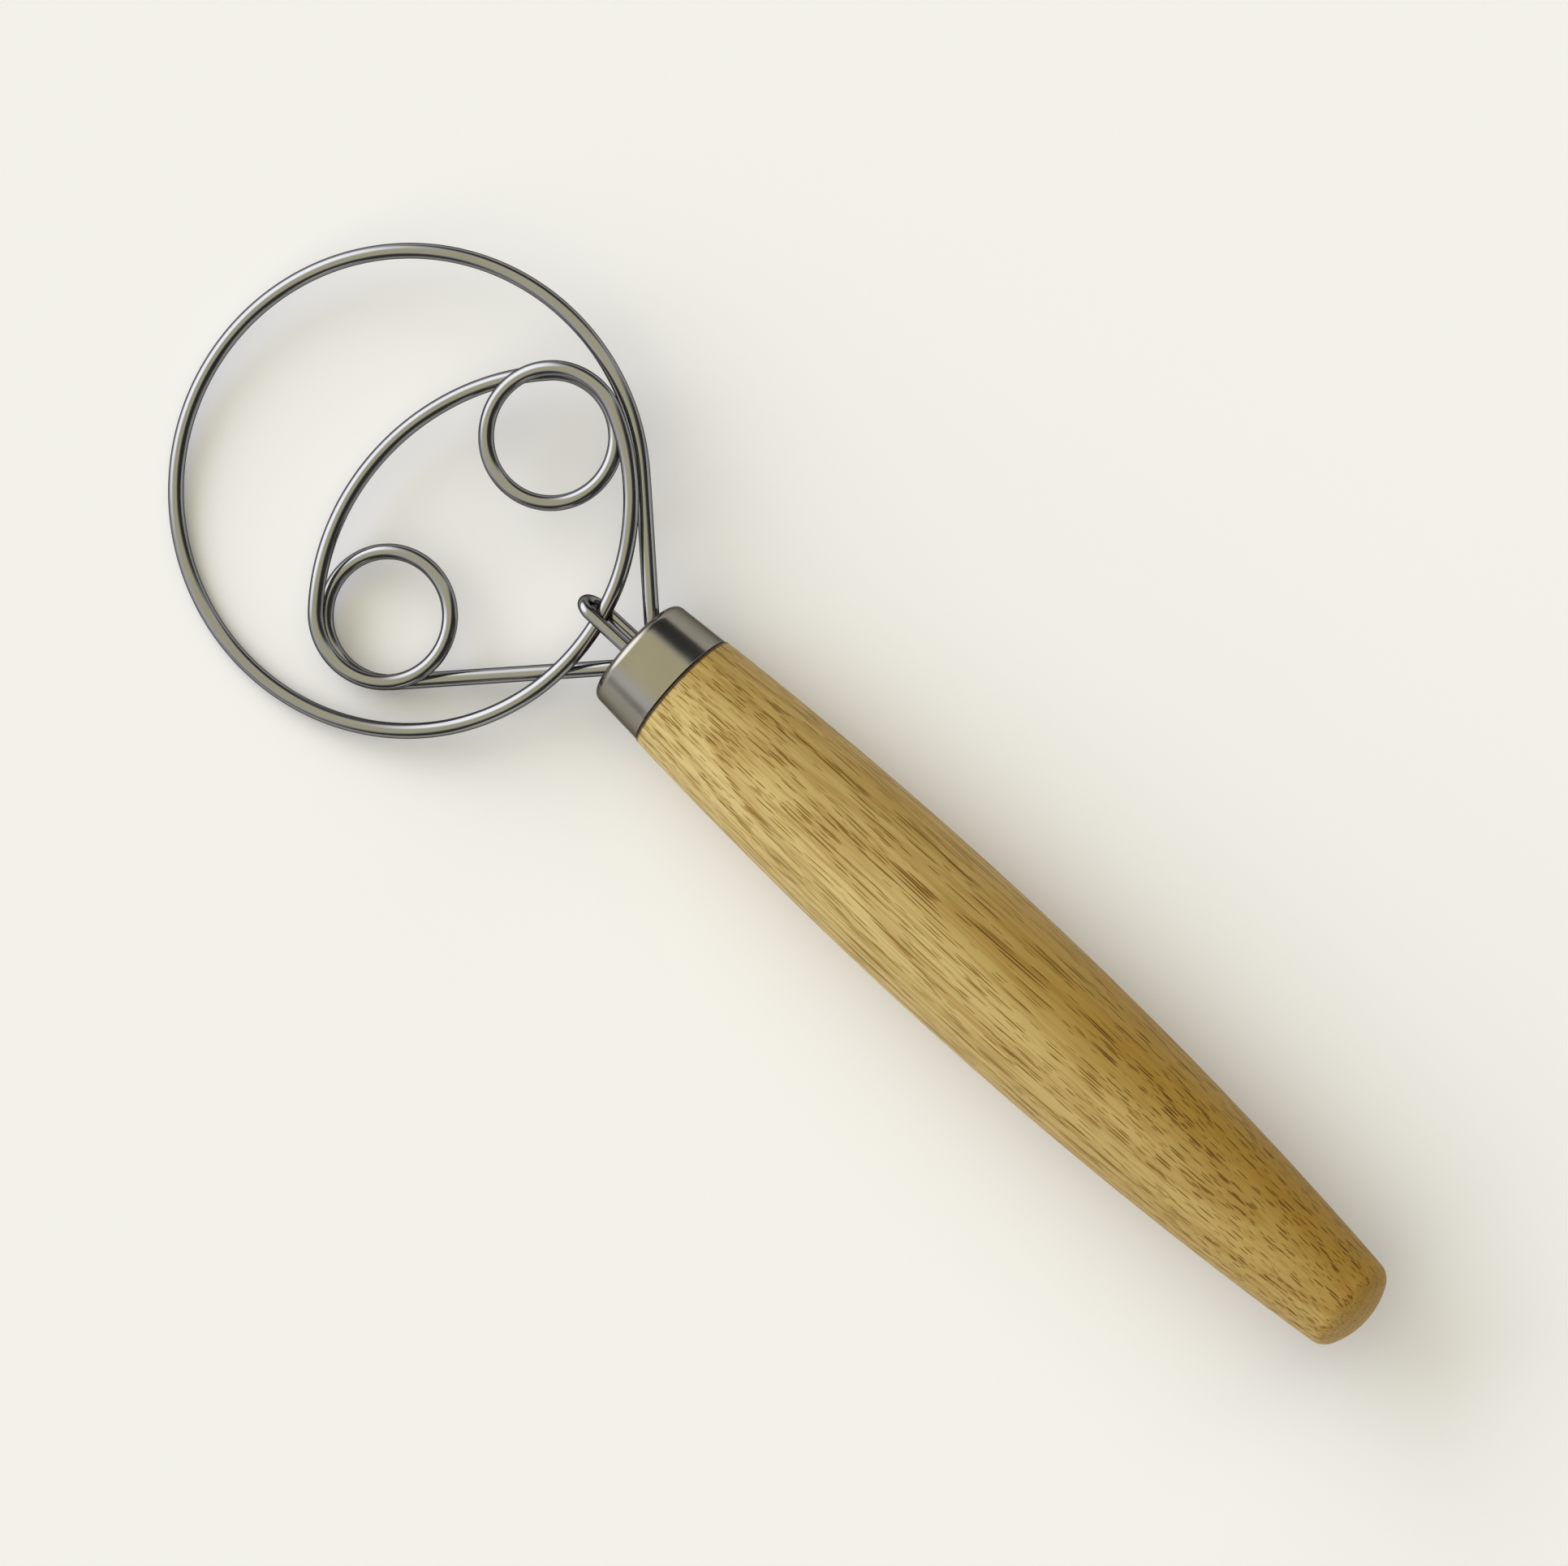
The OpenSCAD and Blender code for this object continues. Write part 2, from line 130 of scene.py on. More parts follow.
def ring_piece(name, rings, along, closed=False):
    """Mesh object from an array of rings, shape (rows, columns, 3), in the drawing's mm.

    along gives the distance of each row in mm for the UV map. Unless the rows close on
    themselves, each end is shut by a fan of triangles round its middle point."""
    rows, columns = rings.shape[:2]
    points = rings.reshape(-1, 3)
    faces = grid_faces(rows, columns, closed)
    uv_u = np.append(along, along[-1] + 1.0) / UV_MM
    row, column = np.divmod(np.arange(len(faces)), columns)
    face_uv = np.stack([
        np.stack([uv_u[row], uv_u[row + 1], uv_u[row + 1], uv_u[row]], axis=1),
        np.stack([column, column, column + 1, column + 1], axis=1) / columns], axis=2)
    polygons = faces.tolist()
    corner_uv = face_uv.reshape(-1, 2)
    if not closed:
        middles = np.stack([rings[0].mean(0), rings[-1].mean(0)])
        count = len(points)
        points = np.concatenate([points, middles])
        k = np.arange(columns)
        after = (k + 1) % columns
        last = (rows - 1) * columns
        front = np.stack([np.full(columns, count), k, after], axis=1)
        back = np.stack([np.full(columns, count + 1), last + after, last + k], axis=1)
        polygons += front.tolist() + back.tolist()
        lid_uv = [np.tile([[u, 0.5]], (columns * 3, 1)) for u in (uv_u[0], uv_u[rows - 1])]
        corner_uv = np.concatenate([corner_uv, *lid_uv])
    mesh = bpy.data.meshes.new(name)
    mesh.from_pydata(laid(points), [], polygons)
    uv_map = mesh.uv_layers.new(name="surface")
    uv_map.data.foreach_set("uv", corner_uv.astype(np.float32).ravel())
    mesh.shade_smooth()
    mesh.update()
    piece = bpy.data.objects.new(name, mesh)
    bpy.context.scene.collection.objects.link(piece)
    triangles = sum(len(p) - 2 for p in polygons)
    print(f"{name}: {len(points)} points, {triangles} triangles")
    return piece


# %% [markdown]
# The head is one piece of hard-drawn wire, 2.5 mm thick, bent round pegs. Seen from above its
# line is made of arcs and straight stretches, each tangent to the next: out of the cap, round the
# big ring, inside it along the lead-out, round coil A twice, over the arch to coil B, round that
# twice, and straight back into the cap. The arcs' centres follow from the tangency, so the
# script works them out from a few radii, as a wire bender sets out the pegs.

# %% Plan of the wire
WIRE_R = 1.25
RING_C, RING_R = np.array([-43.85, -6.05]), 37.75
COIL_A_C, COIL_A_R = np.array([-31.75, 15.95]), 10.9
COIL_B_C, COIL_B_R, COIL_B_SECOND_R = np.array([-33.7, -22.65]), 11.0, 10.3
LEAD_R, ARCH_R = 36.4, 38.8
COIL_A_SWITCH, COIL_B_SWITCH = 226.0, 316.0
TUCK_GAP = 0.5
ENTRY_Y, TAIL_Y, TAIL_L, BEND_R = 4.0, 3.7, 30.0, 3.5


def unit(angle):
    """Directions at angles in degrees."""
    a = np.radians(angle)
    return np.stack([np.cos(a), np.sin(a)], axis=-1)


def bearing(v):
    """Angle of a direction in degrees."""
    return math.degrees(math.atan2(v[1], v[0]))


def meet(p, rp, q, rq, side):
    """The point at distance rp from p and rq from q, on the chosen side of the line p to q."""
    gap = np.linalg.norm(q - p)
    u = (q - p) / gap
    forth = (rp * rp - rq * rq + gap * gap) / (2 * gap)
    return p + forth * u + side * math.sqrt(rp * rp - forth * forth) * np.array([-u[1], u[0]])


tuck_reach = RING_R - 2 * WIRE_R - TUCK_GAP - COIL_A_R
ring_to_a = COIL_A_C - RING_C
shrink = (tuck_reach ** 2 - ring_to_a @ ring_to_a) / (
    2 * (ring_to_a @ unit(COIL_A_SWITCH) - tuck_reach))
coil_a2_r, coil_a2_c = COIL_A_R - shrink, COIL_A_C + shrink * unit(COIL_A_SWITCH)
coil_b2_c = COIL_B_C + (COIL_B_R - COIL_B_SECOND_R) * unit(COIL_B_SWITCH)
lead_c = meet(RING_C, RING_R - LEAD_R, COIL_A_C, LEAD_R - COIL_A_R, -1)
arch_c = meet(coil_a2_c, ARCH_R - coil_a2_r, COIL_B_C, ARCH_R - COIL_B_R, 1)

entry_a, entry_b = np.array([0.0, ENTRY_Y]), np.array([0.0, -ENTRY_Y])
to_ring, to_b = RING_C - entry_a, entry_b - coil_b2_c
ring_from = bearing(to_ring) - math.degrees(math.asin(RING_R / np.linalg.norm(to_ring))) - 90
coil_b_to = bearing(to_b) + math.degrees(math.asin(COIL_B_SECOND_R / np.linalg.norm(to_b))) - 90
touch_a = RING_C + RING_R * unit(ring_from)
touch_b = coil_b2_c + COIL_B_SECOND_R * unit(coil_b_to)
ring_to, lead_to = bearing(lead_c - RING_C), bearing(COIL_A_C - lead_c)
coil_a_to, arch_to = bearing(coil_a2_c - arch_c), bearing(COIL_B_C - arch_c)
print("lead-out centre", lead_c.round(2), "arch centre", arch_c.round(2))

# %% [markdown]
# Behind the cap's face each strand bends from its slant to the direction of the handle and runs
# straight into the wood, where it is potted.

# %% Stretches of the wire
STEP = 0.55


def stretch_line(p, q):
    """Points from p towards q, without q itself."""
    count = math.ceil(np.linalg.norm(q - p) / (2 * STEP))
    return p + np.linspace(0, 1, count, endpoint=False)[:, None] * (q - p)


def stretch_arc(centre, radius, start, turn):
    """Points of an arc from its start angle through a turn in degrees, without its last point."""
    count = math.ceil(abs(math.radians(turn)) * radius / STEP)
    return centre + radius * unit(start + np.linspace(0, 1, count, endpoint=False) * turn)


def corner(entry, ahead, side):
    """Where the line of the slanting strand is TAIL_Y from the axis, on the given side."""
    return entry + ahead * (side * TAIL_Y - entry[1]) / ahead[1]


slant_a = bearing(entry_a - touch_a) % 360 - 270
slant_b = bearing(touch_b - entry_b) % 360 - 180
turn_a = 90 - slant_a
out_a, out_b = touch_a - entry_a, touch_b - entry_b
bend_a_x = corner(entry_a, out_a, 1)[0] + BEND_R * math.tan(math.radians(turn_a / 2))
bend_b_x = corner(entry_b, out_b, -1)[0] + BEND_R * math.tan(math.radians(slant_b / 2))
bend_a_c = np.array([bend_a_x, TAIL_Y + BEND_R])
bend_b_c = np.array([bend_b_x, -TAIL_Y - BEND_R])
(TAIL_A, BEND_A, STRAND_A, RING, LEAD, COIL_A, COIL_A2, ARCH, COIL_B, COIL_B2, STRAND_B,
 BEND_B, TAIL_B) = range(13)
stretches = [
    stretch_line(np.array([TAIL_L, TAIL_Y]), np.array([bend_a_x, TAIL_Y])),
    stretch_arc(bend_a_c, BEND_R, 270, -turn_a),
    stretch_line(bend_a_c + BEND_R * unit(270 - turn_a), touch_a),
    stretch_arc(RING_C, RING_R, ring_from, (ring_to - ring_from) % 360),
    stretch_arc(lead_c, LEAD_R, ring_to, (lead_to - ring_to) % 360),
    stretch_arc(COIL_A_C, COIL_A_R, lead_to, (COIL_A_SWITCH - lead_to) % 360),
    stretch_arc(coil_a2_c, coil_a2_r, COIL_A_SWITCH, (coil_a_to - COIL_A_SWITCH) % 360),
    stretch_arc(arch_c, ARCH_R, coil_a_to, (arch_to - coil_a_to) % 360),
    stretch_arc(COIL_B_C, COIL_B_R, arch_to, (COIL_B_SWITCH - arch_to) % 360),
    stretch_arc(coil_b2_c, COIL_B_SECOND_R, COIL_B_SWITCH, (coil_b_to - COIL_B_SWITCH) % 360),
    stretch_line(touch_b, bend_b_c + BEND_R * unit(90 + slant_b)),
    stretch_arc(bend_b_c, BEND_R, 90 + slant_b, -slant_b),
    stretch_line(np.array([bend_b_x, -TAIL_Y]), np.array([TAIL_L, -TAIL_Y])),
    np.array([[TAIL_L, -TAIL_Y]])]
plan = np.concatenate(stretches)
travel = distances(plan)
starts = travel[np.cumsum([0] + [len(s) for s in stretches])[:-1]]
print(f"wire {travel[-1]:.1f} mm long, {len(plan)} points")

# %% [markdown]
# Where strands cross, one passes over the other. The heights along the wire, in wire
# thicknesses over the head's middle plane, are the levels that let every crossing clear. A
# smooth curve through them must not overshoot, or strands would touch: its slope at a level is
# the harmonic mean of the slopes on both sides, and zero at a top or a bottom.

# %% Heights of the wire
STRAND_A_Z, STRAND_B_Z = -0.32, -0.52
levels = [
    (TAIL_A, 0, STRAND_A_Z), (STRAND_A, 0, STRAND_A_Z), (RING, 0, -0.54), (RING, 0.15, -0.54),
    (RING, 0.53, -0.36), (RING, 0.89, -0.12), (LEAD, 0.43, 0.4), (LEAD, 0.6, 0.32),
    (LEAD, 0.78, 0.6), (COIL_A, 0.1, 0.62), (COIL_A2, 0, 0.05), (COIL_A2, 0.9, -0.86),
    (ARCH, 0.17, -0.88), (COIL_B, 0, 0.6), (COIL_B2, 0, 0.25), (COIL_B2, 1, -0.97),
    (STRAND_B, 0.72, -0.88), (STRAND_B, 1, STRAND_B_Z), (TAIL_B, 0, STRAND_B_Z),
    (TAIL_B, 1, STRAND_B_Z)]
knot_s = np.array([starts[k] + share * (starts[k + 1] - starts[k]) for k, share, _ in levels])
knot_z = np.array([level * 2 * WIRE_R for _, _, level in levels])
keep = np.concatenate([[True], np.diff(knot_s) > 0.01])
knot_s, knot_z = knot_s[keep], knot_z[keep]


def height(s):
    """Height at the distances s: a cubic between two levels, with harmonic mean slopes."""
    rise = np.diff(knot_z) / np.diff(knot_s)
    a, b = rise[:-1], rise[1:]
    product = np.where(a * b > 0, a * b, 0.0)
    slope = np.concatenate([[0.0], 2 * product / np.where(product > 0, a + b, 1.0), [0.0]])
    i = np.clip(np.searchsorted(knot_s, s, side="right") - 1, 0, len(knot_s) - 2)
    run = knot_s[i + 1] - knot_s[i]
    t = (s - knot_s[i]) / run
    return (knot_z[i] * (2 * t ** 3 - 3 * t ** 2 + 1) + knot_z[i + 1] * (3 * t ** 2 - 2 * t ** 3)
            + run * (slope[i] * (t ** 3 - 2 * t ** 2 + t) + slope[i + 1] * (t ** 3 - t ** 2)))


route = np.column_stack([plan, height(travel)])
print("heights", route[:, 2].min().round(2), "to", route[:, 2].max().round(2), "mm")

# %% [markdown]
# The wire itself is a circle carried along the route, square to it. Its sideways direction is
# always level, which works because the route never stands upright. The rings keep their place
# round the wire from end to end, so the fine lines that drawing left in the steel can follow it.
# Each ring starts underneath, where the seam of the UV map is out of sight.

# %% Sweep a round bar
WIRE_SIDES = 40


def directions(path):
    """Unit vector along the path at each of its points."""
    ahead = np.gradient(path, axis=0)
    return ahead / np.linalg.norm(ahead, axis=1)[:, None]


def swept(name, path, radius, sides):
    """Tube: the ring at each point is centre + radius (cos a * sideways + sin a * over)."""
    ahead = directions(path)
    sideways = np.cross([0.0, 0.0, 1.0], ahead)
    sideways /= np.linalg.norm(sideways, axis=1)[:, None]
    over = np.cross(ahead, sideways)
    a = np.linspace(-0.5, 1.5, sides, endpoint=False)[None, :, None] * math.pi
    rings = path[:, None] + radius * (np.cos(a) * sideways[:, None] + np.sin(a) * over[:, None])
    return ring_piece(name, rings[:, ::-1], distances(path))


whisk_wire = swept("bent_wire", route, WIRE_R, WIRE_SIDES)
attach(whisk_wire, "root")
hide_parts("whisk_wire")

# %% [markdown]
# A thinner wire, bent to a U, comes out of the cap over the lead-out and goes back under it, so
# that the ring can't be pulled away from the handle. It leans over a little. Its path is two
# straight legs and a half circle in a leaning plane.

# %% The small U
STAPLE_R, STAPLE_Y, STAPLE_L = 1.0, 0.35, 26.0
STAPLE_LEAN = math.radians(16.0)
STAPLE_SLACK, STAPLE_PLAY = 1.0, 0.2
STAPLE_BEND_R = WIRE_R + STAPLE_R + STAPLE_PLAY
STAPLE_SIDES, LEG_POINTS, BEND_POINTS = 36, 60, 49
lead_at_u = lead_c[0] + math.sqrt(LEAD_R ** 2 - (STAPLE_Y - lead_c[1]) ** 2)
staple_x = lead_at_u - STAPLE_SLACK
angle_at_u = math.degrees(math.asin((STAPLE_Y - lead_c[1]) / LEAD_R))
lead_share = ((angle_at_u - ring_to) % 360) / ((lead_to - ring_to) % 360)
staple_z = float(height(starts[LEAD] + lead_share * (starts[COIL_A] - starts[LEAD])))
leg = np.linspace(STAPLE_L, staple_x, LEG_POINTS)
half_turn = np.linspace(math.pi / 2, -math.pi / 2, BEND_POINTS)[1:-1]
u_x = np.concatenate([leg, staple_x - STAPLE_BEND_R * np.cos(half_turn), leg[::-1]])
leg_side = np.ones(LEG_POINTS)
u_h = STAPLE_BEND_R * np.concatenate([leg_side, np.sin(half_turn), -leg_side])
u_path = np.column_stack([u_x, STAPLE_Y - u_h * math.sin(STAPLE_LEAN),
                          staple_z + u_h * math.cos(STAPLE_LEAN)])
print(f"the U's bend is centred at x = {staple_x:.2f}, z = {staple_z:.3f}")


def swept_in_plane(name, path, radius, sides, normal):
    """Tube along a path in one plane: the ring's first direction is the plane's normal."""
    across = np.cross(directions(path), normal)
    a = np.linspace(0, 2 * math.pi, sides, endpoint=False)[None, :, None]
    rings = path[:, None] + radius * (np.cos(a) * normal + np.sin(a) * across[:, None])
    return ring_piece(name, rings[:, ::-1], distances(path))


u_normal = np.array([0.0, math.cos(STAPLE_LEAN), math.sin(STAPLE_LEAN)])
tie = swept_in_plane("tie_wire", u_path, STAPLE_R, STAPLE_SIDES, u_normal)
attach(tie, "root")
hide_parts("retaining_staple")

# %% [markdown]
# The cap is drawn from stainless sheet: a short cup with a rounded shoulder, a slot cut through
# its face for the wires, and an open end that the wooden tenon fills. One grid makes it all.
# Its rows start at the slot's rim, spread over the face to a circle, go round the shoulder and
# down the flank, turn over the thin edge and come back along the inside.

# %% Steel cap
CAP_L, CAP_FRONT_R, CAP_BACK_R, SHOULDER_R, SHEET = 10.0, 9.75, 10.35, 1.6, 0.75
SLOT_L, SLOT_R = 13.2, 4.4
SLOT_HALF = (SLOT_L - 2 * SLOT_R) / 2
CAP_SIDES = 256
around = np.linspace(-0.5, 1.5, CAP_SIDES, endpoint=False) * math.pi
cos_a, sin_a = np.cos(around), np.sin(around)


def slot_reach(grow):
    """Distance from the axis to the slot's rim in each direction: flat sides, round ends."""
    r = SLOT_R + grow
    flat = r / np.maximum(np.abs(sin_a), 1e-9)
    end = SLOT_HALF * np.abs(cos_a) + np.sqrt(np.maximum(r * r - (SLOT_HALF * sin_a) ** 2, 0.0))
    return np.where(flat * np.abs(cos_a) <= SLOT_HALF, flat, end)


def quarter(x_c, r_c, r, start, end, count):
    """Outline points of an arc in the plane of axis distance x and radius, in degrees."""
    a = np.radians(np.linspace(start, end, count))
    return np.column_stack([x_c + r * np.cos(a), r_c + r * np.sin(a)])


SLOT_EDGE, SLOT_BEVEL, OUTER_EDGE, INNER_EDGE = 0.12, 0.035, 0.2, 0.1
inner_r = SHOULDER_R - SHEET
face_r = CAP_FRONT_R - SHOULDER_R
slope = (CAP_BACK_R - CAP_FRONT_R) / (CAP_L - SHOULDER_R)
taper = math.degrees(math.atan(slope))
flank_x = np.linspace(SHOULDER_R + 0.3, CAP_L - 2 * OUTER_EDGE, 24)
outer = np.concatenate([
    quarter(SHOULDER_R, face_r, SHOULDER_R, 180, 90 + taper, 18),
    np.column_stack([flank_x, CAP_FRONT_R + slope * (flank_x - SHOULDER_R)]),
    quarter(CAP_L - OUTER_EDGE, CAP_BACK_R - OUTER_EDGE, OUTER_EDGE, 90, 0, 7),
    quarter(CAP_L - INNER_EDGE, CAP_BACK_R - SHEET + INNER_EDGE, INNER_EDGE, 0, -90, 4),
    np.column_stack([np.linspace(CAP_L - 0.5, SHOULDER_R, 12),
                     np.linspace(CAP_BACK_R - SHEET, CAP_FRONT_R - SHEET, 12)]),
    quarter(SHOULDER_R, face_r, inner_r, 90, 180, 8)[1:]])


def cap_row(x, r):
    """One row of the cap: its place along the axis, and its distance from it all round."""
    return np.column_stack([np.full(CAP_SIDES, x), r * np.ones(CAP_SIDES)])


slot_rim = [(SHEET, 0.0), (SHEET - 0.1, 0.0), (SLOT_EDGE, 0.0), (SLOT_BEVEL, SLOT_BEVEL),
            (0.0, SLOT_EDGE)]
across_face = np.linspace(0, 1, 10)[1:-1]
rows = [cap_row(x, slot_reach(grow)) for x, grow in slot_rim]
rows += [cap_row(0.0, slot_reach(SLOT_EDGE) * (1 - w) + face_r * w) for w in across_face]
rows += [cap_row(x, r) for x, r in outer]
rows += [cap_row(SHEET, slot_reach(0.0) * (1 - w) + face_r * w) for w in across_face[::-1]]
cap_x, cap_r = np.moveaxis(np.stack(rows), 2, 0)
cap_rings = np.stack([cap_x, cap_r * cos_a, cap_r * sin_a], axis=-1)
cap_steps = np.linalg.norm(np.diff(cap_rings, axis=0), axis=2).mean(1)
cap_along = np.concatenate([[0.0], np.cumsum(cap_steps)])
cap = ring_piece("steel_cap", cap_rings[:, ::-1], cap_along, closed=True)
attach(cap, "root")
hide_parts("ferrule")

# %% [markdown]
# The handle is turned on a lathe, so it is one outline carried round the axis. The outline starts
# at the bottom of the drilled hole, comes out along the hole and over the tenon, and then
# follows the barrel: a long arc to the belly, a long arc down to the butt, a rounded edge and a
# shallow dome. Each arc is tangent to the next, so light runs over it without a break.

# %% Outline of the turned wood
FIT_GAP, FACE_GAP = 0.05, 0.2
NECK_X, NECK_R, NECK_BEVEL = CAP_L + FIT_GAP, 10.5, 0.4
BELLY_X, BELLY_R, BUTT_X, BUTT_R = 69.0, 12.75, 156.65, 7.85
DOME_R, DOME_EDGE_R = 13.25, 3.5
BORE_R, BORE_X, DRILL_POINT = 6.0, 36.0, math.radians(31)
TENON_X, TENON_EDGE_R = SHEET + FACE_GAP, 1.8
TENON_FRONT_R, TENON_BACK_R = CAP_FRONT_R - SHEET - FIT_GAP, CAP_BACK_R - SHEET - FIT_GAP


def arc_radius(run, sag):
    """Radius of the arc that falls by sag over the distance run from its top."""
    return (run * run + sag * sag) / (2 * sag)


front_r = arc_radius(BELLY_X - NECK_X, BELLY_R - NECK_R)
dome_c = BUTT_X - DOME_R
butt_edge_x = dome_c + math.sqrt(DOME_R ** 2 - BUTT_R ** 2)
rear_r = arc_radius(butt_edge_x - BELLY_X, BELLY_R - BUTT_R)
rear_c, dome_middle = np.array([BELLY_X, BELLY_R - rear_r]), np.array([dome_c, 0.0])
edge_c = meet(rear_c, rear_r - DOME_EDGE_R, dome_middle, DOME_R - DOME_EDGE_R, -1)
edge_from, edge_to = bearing(edge_c - rear_c), bearing(edge_c - dome_middle)
barrel_end = edge_c[0] + DOME_EDGE_R * math.cos(math.radians(edge_from))
barrel_x = np.concatenate([np.linspace(NECK_X + NECK_BEVEL, BELLY_X, 110)[:-1],
                           np.linspace(BELLY_X, barrel_end, 150)])
barrel_long = np.where(barrel_x < BELLY_X, front_r, rear_r)
barrel_r = BELLY_R - barrel_long + np.sqrt(barrel_long ** 2 - (barrel_x - BELLY_X) ** 2)
wood_outline = np.concatenate([
    [[BORE_X + BORE_R * math.tan(DRILL_POINT), 0.0], [BORE_X, BORE_R]],
    np.column_stack([np.linspace(BORE_X - 1, TENON_X + 0.6, 20), np.full(20, BORE_R)]),
    [[TENON_X, BORE_R + 0.1], [TENON_X, TENON_FRONT_R - TENON_EDGE_R]],
    quarter(TENON_X + TENON_EDGE_R, TENON_FRONT_R - TENON_EDGE_R, TENON_EDGE_R, 180, 90, 10)[1:],
    [[NECK_X - 0.02, TENON_BACK_R - 0.02], [NECK_X, TENON_BACK_R + 0.05]],
    quarter(NECK_X + NECK_BEVEL, barrel_r[0] - NECK_BEVEL, NECK_BEVEL, 180, 95, 8),
    np.column_stack([barrel_x, barrel_r]),
    quarter(edge_c[0], edge_c[1], DOME_EDGE_R, edge_from, edge_to, 18)[1:],
    quarter(dome_c, 0.0, DOME_R, edge_to, 0, 36)[1:]])
print("rear arc", round(rear_r, 1), "edge centre", edge_c.round(3), len(wood_outline), "points")

# %% [markdown]
# Carrying the outline round the axis gives rings. The two ends of the outline lie on the axis, so
# they become poles.

# %% Turned handle
WOOD_SIDES = 224
wood_around = np.linspace(-0.5, 1.5, WOOD_SIDES, endpoint=False) * math.pi
body = wood_outline[1:-1]
wood_rings = np.stack([
    np.repeat(body[:, :1], WOOD_SIDES, axis=1),
    body[:, 1:] * np.cos(wood_around), body[:, 1:] * np.sin(wood_around)], axis=-1)
handle = ring_piece("turned_handle", wood_rings[:, ::-1], distances(body))
poles = handle.data.vertices[-2:]
for pole, pole_x in zip(poles, (wood_outline[0, 0], wood_outline[-1, 0])):
    pole.co = laid([[pole_x, 0.0, 0.0]])[0]
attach(handle, "root")
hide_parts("handle")

# %% [markdown]
# Materials are node trees. One small function adds a node, sets it and links it, and another turns
# the hex colours, which are written as a screen shows them, to the linear values that light uses.
# A third mixes two colours. The Mix node has sockets of one name for values and for colours, so
# the colours go in by number: 6 and 7, and out at 2.

# %% Node and colour helpers
def add(tree, kind, inputs=None, **settings):
    """Add a node. Each input is a constant or another node's socket, by socket name or number."""
    node = tree.nodes.new(kind)
    for name, value in settings.items():
        setattr(node, name, value)
    for key, value in (inputs or {}).items():
        if isinstance(value, bpy.types.NodeSocket):
            tree.links.new(value, node.inputs[key])
        else:
            node.inputs[key].default_value = value
    return node


def linear(hex_code):
    """Linear RGBA of an sRGB hex: c / 12.92 when dark, else ((c + 0.055) / 1.055) ^ 2.4."""
    c = np.array([int(hex_code[i:i + 2], 16) for i in (1, 3, 5)]) / 255
    c = np.where(c <= 0.04045, c / 12.92, ((c + 0.055) / 1.055) ** 2.4)
    return (*c.tolist(), 1.0)


def mix(tree, amount, before, after, **settings):
    """Colour socket of a Mix node: before where the amount is 0, after where it is 1."""
    return add(tree, "ShaderNodeMix", {0: amount, 6: before, 7: after}, data_type="RGBA",
               **settings).outputs[2]


def new_material(name):
    """Material with a Principled shader; gives the material, its tree and that shader."""
    material = bpy.data.materials.new(name)
    material.use_nodes = True
    return material, material.node_tree, material.node_tree.nodes["Principled BSDF"]


def dress(piece, material):
    """Put the one material on every face of the piece."""
    piece.data.materials.clear()
    piece.data.materials.append(material)


# %% [markdown]
# Stainless steel wire is pulled through a row of dies, which leaves it smooth round its girth
# and very finely lined along its length. So its highlight is soft and a little streaky. The lines
# are 0.15 mm apart here, coarser than the real ones, because those would not show at all. They
# follow the wire's own UV map, since the wire turns every way. Steel has no colour of its own to
# speak of, so its tint is a plain grey, darker than bare steel because the drawing film dulls it,
# and its sheen falls off towards the edges, which gives each strand a dark outline.

# %% Drawn stainless steel
LINE_GAP, LINE_L, LINE_DEPTH = 0.15, 15.0, 0.008
CLOUD_SIZE = 9.0
EDGE_SHADE = (0.0, 0.0, 0.0, 1.0)


def drawn_steel(name, girth):
    """Steel wire of the given girth in mm: lines LINE_GAP apart and LINE_L long."""
    material, tree, shader = new_material(name)
    surface = add(tree, "ShaderNodeUVMap", uv_map="surface").outputs["UV"]
    lined = add(tree, "ShaderNodeMapping", {
        "Vector": surface, "Scale": (UV_MM / LINE_L, girth / LINE_GAP, 1)})
    lines = add(tree, "ShaderNodeTexNoise", {"Vector": lined.outputs[0], "Scale": 1.0,
                                             "Detail": 3.0})
    place = add(tree, "ShaderNodeTexCoord").outputs["Object"]
    cloud = add(tree, "ShaderNodeTexNoise", {"Vector": place, "Scale": 1 / (CLOUD_SIZE * MM),
                                             "Detail": 2.0})
    gloss = add(tree, "ShaderNodeMapRange", {"Value": lines.outputs[0], "From Min": 0.3,
                                             "From Max": 0.7, "To Min": 0.12, "To Max": 0.21})
    tint = mix(tree, cloud.outputs[0], linear("#868686"), linear("#939393"))
    bump = add(tree, "ShaderNodeBump", {"Height": lines.outputs[0], "Strength": 0.5,
                                        "Distance": LINE_DEPTH * MM})
    tree.links.new(tint, shader.inputs["Base Color"])
    tree.links.new(gloss.outputs[0], shader.inputs["Roughness"])
    tree.links.new(bump.outputs[0], shader.inputs["Normal"])
    shader.inputs["Metallic"].default_value = 1.0
    shader.inputs["Specular Tint"].default_value = EDGE_SHADE
    return material


dress(whisk_wire, drawn_steel("stainless_steel_drawn_wire", 2 * math.pi * WIRE_R))
dress(tie, drawn_steel("stainless_steel_thin_wire", 2 * math.pi * STAPLE_R))

# %% [markdown]
# The cap is drawn from sheet and then polished while it spins, so its faint lines go round it.
# Handling leaves a few soft smears, which only show as changes in the gloss.

# %% Polished stainless cap
CAP_LINE_GAP, CAP_LINES_ROUND = 0.3, 5
SMEAR_SIZE = 5.0
CAP_EDGE_SHADE = (0.35, 0.35, 0.35, 1.0)


